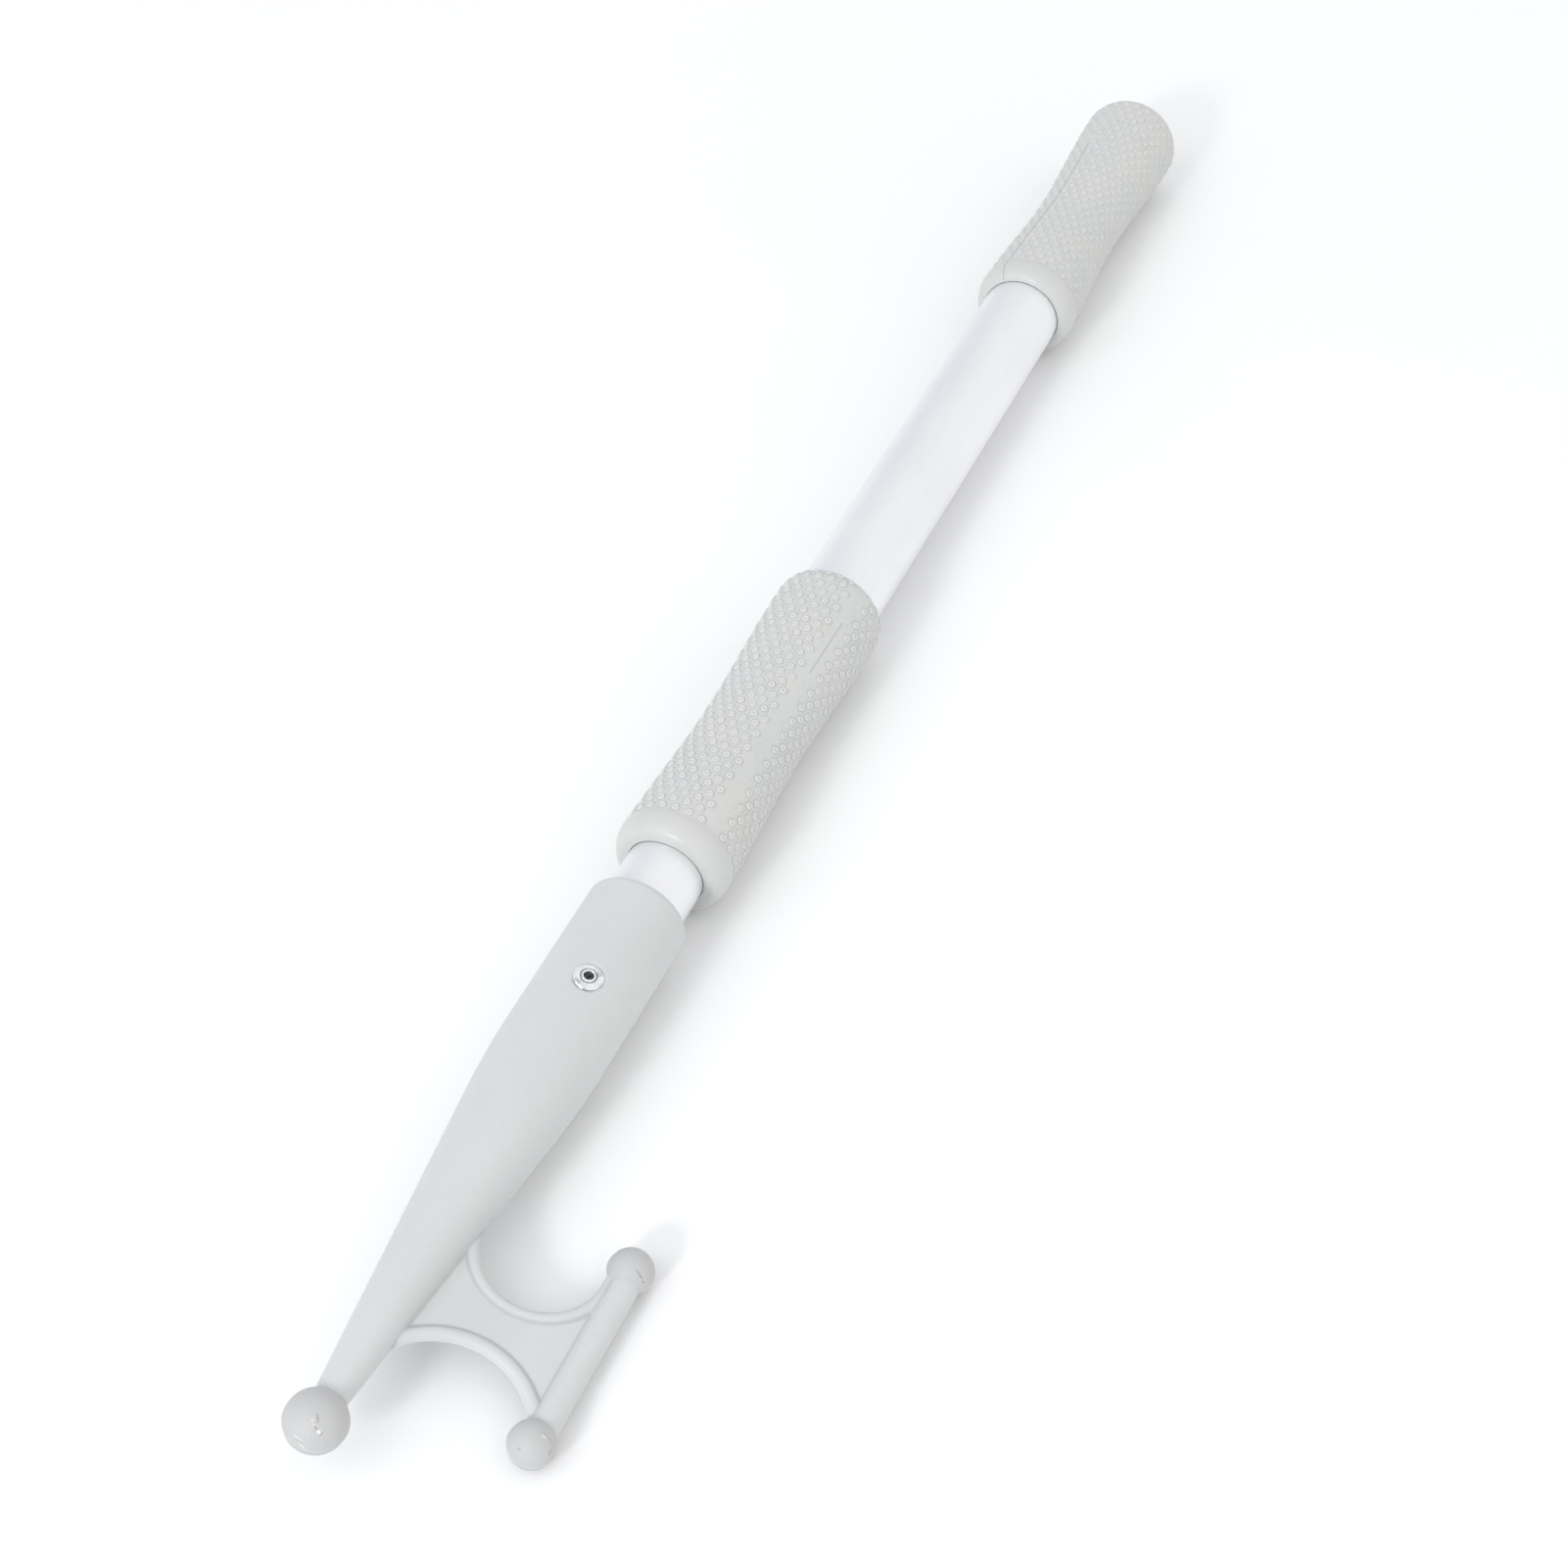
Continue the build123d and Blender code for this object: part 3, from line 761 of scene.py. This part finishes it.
def end_grip_piece(material):
    """The sleeve on the back of the outer tube, closed by a blunt butt."""
    mouth_r = GRIP_BORE_R + MOUTH_GAP
    lip = arc((LIP_ROUND, mouth_r + LIP_ROUND), (LIP_ROUND, LIP_ROUND), 180, 270, LIP_STEPS).tolist()
    bore_end = GRIP_LENGTH - BUTT_WALL
    bore = [(MOUTH_DEPTH, mouth_r), (MOUTH_DEPTH, GRIP_BORE_R), (bore_end, GRIP_BORE_R), (bore_end, 0)]
    seam = (END_SEAM_ANGLE, END_SEAM_BLANK, END_SEAM_RUN, END_SEAM_TONE)
    return grip_piece(
        "end_grip_sleeve", "end_grip", END_WAIST_R, BUTT_DROP, (END_LAST_PIP, END_CLARITY),
        seam, lip + bore, [(0, 0)], material,
    )


# Materials: every one is made of nodes, with noise measured in millimetres

def new_material(name, metallic, specular=0.5):
    material = bpy.data.materials.new(name)
    material.use_nodes = True
    tree = material.node_tree
    shader = tree.nodes["Principled BSDF"]
    shader.inputs["Metallic"].default_value = metallic
    shader.inputs["Specular IOR Level"].default_value = specular
    return material, tree, shader


def noise(tree, size, detail=3.0, stretch=(1, 1, 1)):
    """Noise with lumps about size millimetres across, drawn out by a factor along each axis."""
    place = tree.nodes.new("ShaderNodeTexCoord")
    scaling = tree.nodes.new("ShaderNodeMapping")
    scaling.inputs["Scale"].default_value = [1 / (size * MM * factor) for factor in stretch]
    texture = tree.nodes.new("ShaderNodeTexNoise")
    texture.inputs["Scale"].default_value = 1.0
    texture.inputs["Detail"].default_value = detail
    tree.links.new(place.outputs["Object"], scaling.inputs["Vector"])
    tree.links.new(scaling.outputs["Vector"], texture.inputs["Vector"])
    return texture.outputs["Fac"]


def tint(tree, value, low, high, start=0.35, end=0.65):
    """A colour from low to high as a value goes from start to end."""
    ramp = tree.nodes.new("ShaderNodeValToRGB")
    for stop, position, colour in zip(ramp.color_ramp.elements, (start, end), (low, high)):
        stop.position = position
        stop.color = colour
    tree.links.new(value, ramp.inputs["Fac"])
    return ramp.outputs["Color"]


def layered(tree, under, over, share):
    """One colour laid over another by a varying share."""
    mix = tree.nodes.new("ShaderNodeMix")
    mix.data_type = "RGBA"
    tree.links.new(share, mix.inputs["Factor"])
    tree.links.new(under, mix.inputs["A"])
    tree.links.new(over, mix.inputs["B"])
    return mix.outputs["Result"]


def constant_colour(tree, colour):
    """One colour, to lay over another."""
    source = tree.nodes.new("ShaderNodeRGB")
    source.outputs["Color"].default_value = colour
    return source.outputs["Color"]


def blend(tree, first, second, share):
    """A number between two others by a varying share."""
    mix = tree.nodes.new("ShaderNodeMix")
    tree.links.new(share, mix.inputs["Factor"])
    tree.links.new(first, mix.inputs["A"])
    tree.links.new(second, mix.inputs["B"])
    return mix.outputs["Result"]


def vertex_value(tree, name):
    """A number that the mesh carries at each of its points."""
    reader = tree.nodes.new("ShaderNodeAttribute")
    reader.attribute_type = "GEOMETRY"
    reader.attribute_name = name
    return reader.outputs["Fac"]


def spread(tree, value, low, high, start=0.3, end=0.7):
    """A number from low to high as a value goes from start to end."""
    change = tree.nodes.new("ShaderNodeMapRange")
    change.inputs["From Min"].default_value = start
    change.inputs["From Max"].default_value = end
    change.inputs["To Min"].default_value = low
    change.inputs["To Max"].default_value = high
    tree.links.new(value, change.inputs["Value"])
    return change.outputs["Result"]


def relief(tree, height, depth, under=None):
    """A bump whose full height is depth millimetres, on top of another bump."""
    bump = tree.nodes.new("ShaderNodeBump")
    bump.inputs["Strength"].default_value = 1.0
    bump.inputs["Distance"].default_value = depth * MM
    tree.links.new(height, bump.inputs["Height"])
    if under is not None:
        tree.links.new(under, bump.inputs["Normal"])
    return bump.outputs["Normal"]


def finish_shader(tree, shader, colour, roughness, normal):
    tree.links.new(colour, shader.inputs["Base Color"])
    tree.links.new(roughness, shader.inputs["Roughness"])
    tree.links.new(normal, shader.inputs["Normal"])


def ragged_place(tree, size, reach):
    """Where a point is, shifted a little at random, so that marks have uneven edges."""
    place = tree.nodes.new("ShaderNodeTexCoord")
    texture = tree.nodes.new("ShaderNodeTexNoise")
    texture.inputs["Scale"].default_value = 1 / (size * MM)
    shift = tree.nodes.new("ShaderNodeVectorMath")
    shift.operation = "MULTIPLY_ADD"
    shift.inputs[1].default_value = (reach * MM,) * 3
    tree.links.new(place.outputs["Object"], texture.inputs["Vector"])
    tree.links.new(texture.outputs["Color"], shift.inputs[0])
    tree.links.new(place.outputs["Object"], shift.inputs[2])
    return shift.outputs["Vector"]


def strokes(tree, place, marks):
    """How far a place is into any of some straight marks on the head, each with its own strength."""
    deepest = None
    for start, end, half_width, strength in marks:
        start, end = (HOOK_FRAME @ Vector(corner) for corner in (start, end))
        inside = tree.nodes.new("ShaderNodeMapping")
        inside.vector_type = "TEXTURE"
        inside.inputs["Location"].default_value = (start + end) / 2
        inside.inputs["Rotation"].default_value = (end - start).to_track_quat("X", "Z").to_euler()
        half_length = (end - start).length / 2 + half_width * MM
        inside.inputs["Scale"].default_value = (half_length, half_width * MM, half_width * MM)
        length = tree.nodes.new("ShaderNodeVectorMath")
        length.operation = "LENGTH"
        tree.links.new(place, inside.inputs["Vector"])
        tree.links.new(inside.outputs["Vector"], length.inputs[0])
        share = spread(tree, length.outputs["Value"], strength, 0.0, 0.5, 1.3)
        if deepest is not None:
            larger = tree.nodes.new("ShaderNodeMath")
            larger.operation = "MAXIMUM"
            tree.links.new(deepest, larger.inputs[0])
            tree.links.new(share, larger.inputs[1])
            share = larger.outputs["Value"]
        deepest = share
    return deepest


def moulded_plastic(name, dark, light, roughness, grain=0.02):
    """Moulded plastic: faint flow marks, fine specks and an orange-peel skin."""
    material, tree, shader = new_material(name, metallic=0.0, specular=0.45)
    flow = tint(tree, noise(tree, size=22, detail=2, stretch=(2.5, 1, 1)), dark, light)
    speck_colour = [SPECK_SHADE * value for value in dark[:3]] + [1.0]
    specks = tint(tree, noise(tree, size=0.7, detail=4), speck_colour, light, 0.3, 0.75)
    colour = layered(tree, flow, specks, spread(tree, noise(tree, size=3, detail=3), 0.12, 0.4))
    rough = spread(tree, noise(tree, size=5, detail=4), roughness - 0.05, roughness + 0.06)
    peel = relief(tree, noise(tree, size=1.2, detail=2), grain)
    normal = relief(tree, noise(tree, size=0.25, detail=2), grain / 4, peel)
    finish_shader(tree, shader, colour, rough, normal)
    return material


def marked_plastic(name):
    """The head's plastic, with painted shade in its creases, a painted highlight on the parting line and the
    socket's edge, painted shadow below the parting line, a gate scar, scuffs and scratches.
    """
    material = moulded_plastic(name, HEAD_DARK, HEAD_LIGHT, roughness=0.45)
    tree = material.node_tree
    shader = tree.nodes["Principled BSDF"]
    clean = shader.inputs["Base Color"].links[0].from_socket
    smooth = shader.inputs["Roughness"].links[0].from_socket
    skin = shader.inputs["Normal"].links[0].from_socket
    on_ball = vertex_value(tree, "worn")
    worn = layered(tree, clean, constant_colour(tree, BALL_WORN), on_ball)
    rough = blend(tree, smooth, spread(tree, noise(tree, size=1.5, detail=3), 0.5, 0.65), on_ball)
    line = vertex_value(tree, "edge")
    # A painted highlight on the parting line and the socket's edge, then painted shadow in the step below
    # the parting line
    edge_highlighted = layered(tree, worn, constant_colour(tree, HEAD_PAINTED_HIGHLIGHT), spread(tree, line, 0.0, 0.6, 0.2, 1.0))
    step_shaded = layered(tree, edge_highlighted, constant_colour(tree, HEAD_PAINTED_SHADE), spread(tree, line, 0.5, 0.0, -1, 0))
    # Painted shade in the creases between the head's members
    crease_shade = spread(tree, vertex_value(tree, "crease"), 0.0, 0.55, 0.2, 1.0)
    crease_shaded = layered(tree, step_shaded, constant_colour(tree, HEAD_PAINTED_SHADE), crease_shade)
    place = ragged_place(tree, 0.8, 0.3)
    sunk, raised = strokes(tree, place, SUNK_MARKS), strokes(tree, place, RAISED_MARKS)
    scratched = layered(tree, crease_shaded, constant_colour(tree, MARK_DARK), sunk)
    colour = layered(tree, scratched, constant_colour(tree, MARK_BRIGHT), raised)
    normal = relief(tree, raised, MARK_RELIEF, relief(tree, sunk, -MARK_RELIEF, skin))
    finish_shader(tree, shader, colour, rough, normal)
    return material


def grip_rubber(name):
    """Soft moulded rubber: warm and cool patches, painted highlights on the pips' rims, painted shade and
    dust in the hollows, glossier plain shoulders.
    """
    material, tree, shader = new_material(name, metallic=0.0, specular=0.45)
    cool_warm = tint(tree, noise(tree, size=14, detail=3), GRIP_COOL, GRIP_WARM, 0.4, 0.6)
    dirt = tint(tree, noise(tree, size=1.1, detail=5), GRIP_DIRT, GRIP_WARM, 0.3, 0.6)
    patchy = layered(tree, cool_warm, dirt, spread(tree, noise(tree, size=6, detail=4), 0.05, 0.45))
    height = vertex_value(tree, "relief")
    # Painted shade and dust in the hollows between pips, then a painted highlight on the pips' rims
    sunk = layered(tree, patchy, constant_colour(tree, GRIP_HOLLOW_DUST_AND_SHADE), spread(tree, height, 0.75, 0.0, -1, 0))
    raised = layered(tree, sunk, constant_colour(tree, GRIP_RIM_HIGHLIGHT), spread(tree, height, 0.0, 0.75, 0, 1))
    line_share = spread(tree, height, 0.8, 0.0, SEAM_DARKEST, -1)
    lined = layered(tree, raised, constant_colour(tree, GRIP_LINE), line_share)
    plain = vertex_value(tree, "gloss")
    colour = layered(tree, lined, constant_colour(tree, GRIP_PLAIN), spread(tree, plain, 0.0, 0.6, 0, 1))
    matte = spread(tree, noise(tree, size=4, detail=4), 0.56, 0.72)
    rough = blend(tree, matte, spread(tree, noise(tree, size=3, detail=4), 0.26, 0.36), plain)
    wrinkles = relief(tree, noise(tree, size=2.4, detail=4), depth=0.05)
    normal = relief(tree, noise(tree, size=0.22, detail=3), depth=0.012, under=wrinkles)
    finish_shader(tree, shader, colour, rough, normal)
    return material


def drawn_aluminium(name):
    """Satin anodised tube: fine lines along its length, and a faint cloudiness."""
    material, tree, shader = new_material(name, metallic=TUBE_METALLIC)
    lines = noise(tree, size=0.35, detail=3, stretch=(120, 1, 1))
    cloud = tint(tree, noise(tree, size=18, detail=3, stretch=(3, 1, 1)), TUBE_COOL, TUBE_LIGHT)
    streaks = tint(tree, lines, TUBE_COOL, TUBE_LIGHT, 0.3, 0.7)
    colour = layered(tree, cloud, streaks, spread(tree, noise(tree, size=9, detail=2), 0.2, 0.6))
    rough = spread(tree, lines, 0.34, 0.46)
    haze = relief(tree, noise(tree, size=0.3, detail=3), depth=0.004)
    normal = relief(tree, lines, depth=0.003, under=haze)
    finish_shader(tree, shader, colour, rough, normal)
    return material


def metal(name, dark, light, roughness, lump, depth):
    """Plated or polished metal: slight patches, small dents and scratches."""
    material, tree, shader = new_material(name, metallic=1.0)
    colour = tint(tree, noise(tree, lump, 4), dark, light)
    rough = spread(tree, noise(tree, lump / 3, 4), roughness * 0.7, roughness * 1.4)
    dents = relief(tree, noise(tree, lump, detail=3), depth)
    normal = relief(tree, noise(tree, lump / 6, detail=3), depth / 3, under=dents)
    finish_shader(tree, shader, colour, rough, normal)
    return material


def grimy_shaded_rivet(name):
    """Polished aluminium, dark with grime and painted shade in the groove round its ring and at its edge,
    and dark in one cloudy patch.
    """
    material = metal(name, RIVET_DARK, RIVET_LIGHT, roughness=0.14, lump=2.5, depth=0.012)
    tree = material.node_tree
    shader = tree.nodes["Principled BSDF"]
    polished = shader.inputs["Base Color"].links[0].from_socket
    smear = spread(tree, noise(tree, size=1.6, detail=2, stretch=(2.5, 1, 1)), 0.0, 0.45, 0.56, 0.64)
    smeared = layered(tree, polished, constant_colour(tree, RIVET_SMEAR), smear)
    # Grime and painted shade in the groove and at the edge
    grime_and_shade = spread(tree, vertex_value(tree, "grime_and_shade"), 0.0, 0.6, 0.0, 1.0)
    tree.links.new(
        layered(tree, smeared, constant_colour(tree, RIVET_GRIME_AND_SHADE), grime_and_shade), shader.inputs["Base Color"]
    )
    return material


def closed_cell_foam(name):
    """Foam: small round cells of several sizes."""
    material, tree, shader = new_material(name, metallic=0.0, specular=0.2)
    cells = tree.nodes.new("ShaderNodeTexVoronoi")
    place = tree.nodes.new("ShaderNodeTexCoord")
    cells.inputs["Scale"].default_value = 1 / (0.9 * MM)
    tree.links.new(place.outputs["Object"], cells.inputs["Vector"])
    colour = tint(tree, cells.outputs["Distance"], FOAM_DARK, FOAM_LIGHT, 0.05, 0.6)
    rough = spread(tree, noise(tree, size=2, detail=3), 0.82, 0.95)
    lumps = relief(tree, noise(tree, size=6, detail=3), depth=0.2)
    normal = relief(tree, cells.outputs["Distance"], depth=0.15, under=lumps)
    finish_shader(tree, shader, colour, rough, normal)
    return material


def dress(material, *nodes):
    """Give CAD nodes a material."""
    for node in nodes:
        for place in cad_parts[node].material_slots:
            place.material = material


# Stage: floor, light and camera

def add_floor():
    mesh = bpy.data.meshes.new("floor")
    half = FLOOR_SIZE / 2
    corners = [(-half, -half, 0), (half, -half, 0), (half, half, 0), (-half, half, 0)]
    mesh.from_pydata(corners, [], [(0, 1, 2, 3)])
    material, tree, shader = new_material("floor_pale", metallic=0.0, specular=0.2)
    colour = tint(tree, noise(tree, size=300, detail=2), FLOOR_DARK, FLOOR_LIGHT)
    rough = spread(tree, noise(tree, size=40, detail=2), 0.8, 0.95)
    normal = relief(tree, noise(tree, size=1, detail=2), depth=0.01)
    finish_shader(tree, shader, colour, rough, normal)
    mesh.materials.append(material)
    floor = bpy.data.objects.new("floor", mesh)
    bpy.context.scene.collection.objects.link(floor)


def add_world():
    """A white surround, brightest on one side and a little dim and blue on the other."""
    world = bpy.data.worlds.new("studio_surround")
    world.use_nodes = True
    bpy.context.scene.world = world
    tree = world.node_tree
    place = tree.nodes.new("ShaderNodeTexCoord")
    towards = tree.nodes.new("ShaderNodeVectorMath")
    towards.operation = "DOT_PRODUCT"
    towards.inputs[1].default_value = Vector(BRIGHT_SIDE).normalized()
    tree.links.new(place.outputs["Generated"], towards.inputs[0])
    colour = tint(tree, towards.outputs["Value"], SURROUND_DIM, SURROUND_BRIGHT, 0.0, 0.9)
    background = tree.nodes["Background"]
    background.inputs["Strength"].default_value = SURROUND_STRENGTH
    tree.links.new(colour, background.inputs["Color"])


def add_soft_light(name, direction, distance, size, power, colour):
    """A square area light that faces the pole's middle from a direction."""
    light = bpy.data.lights.new(name, "AREA")
    light.shape = "SQUARE"
    light.size = size
    light.energy = power
    light.color = colour
    lamp = bpy.data.objects.new(name, light)
    towards = Vector(direction).normalized()
    lamp.location = axis_point + towards * distance
    lamp.rotation_euler = towards.to_track_quat("Z", "Y").to_euler()
    bpy.context.scene.collection.objects.link(lamp)


def add_camera():
    azimuth, elevation = math.radians(CAMERA_AZIMUTH), math.radians(CAMERA_ELEVATION)
    back = Vector((
        math.sin(azimuth) * math.cos(elevation),
        -math.cos(azimuth) * math.cos(elevation),
        math.sin(elevation),
    ))
    data = bpy.data.cameras.new("camera")
    data.sensor_width = 36.0
    data.lens = CAMERA_LENS
    data.clip_start = 0.05
    camera = bpy.data.objects.new("camera", data)
    camera.location = nose + Vector(CAMERA_FROM_NOSE) * MM
    camera.rotation_euler = back.to_track_quat("Z", "Y").to_euler()
    bpy.context.scene.collection.objects.link(camera)
    bpy.context.scene.camera = camera


head_piece(marked_plastic("head_plastic_grey"))
rivet_piece(grimy_shaded_rivet("rivet_polished"))
mandrel_piece(metal("pin_steel_dark", PIN_DARK, PIN_LIGHT, roughness=0.42, lump=0.5, depth=0.08))
rubber = grip_rubber("grip_rubber_grey")
lower_grip_piece(rubber)
end_grip_piece(rubber)
dress(drawn_aluminium("tube_satin"), "inner_tube", "outer_tube")
zinc = metal("zinc_plate", ZINC_DARK, ZINC_LIGHT, roughness=0.32, lump=2.5, depth=0.02)
dress(zinc, "lock_stud", "stop_washer", "stop_nut")
lock_plastic = moulded_plastic("lock_plastic_black", BLACK_DARK, BLACK_LIGHT, roughness=0.45)
dress(lock_plastic, "lock_plug", "lock_collar", "lock_cone")
bush_plastic = moulded_plastic("bush_plastic_grey", BUSH_DARK, BUSH_LIGHT, roughness=0.5)
dress(bush_plastic, "guide_bush", "rear_bung")
dress(closed_cell_foam("foam_pale"), "float_plug")

add_floor()
add_world()
add_soft_light("key_light", KEY_DIRECTION, KEY_DISTANCE, KEY_SIZE, KEY_POWER, KEY_COLOUR)
add_soft_light("glint_light", GLINT_DIRECTION, GLINT_DISTANCE, GLINT_SIZE, GLINT_POWER, GLINT_COLOUR)
add_camera()
bpy.context.scene.view_settings.view_transform = "Standard"
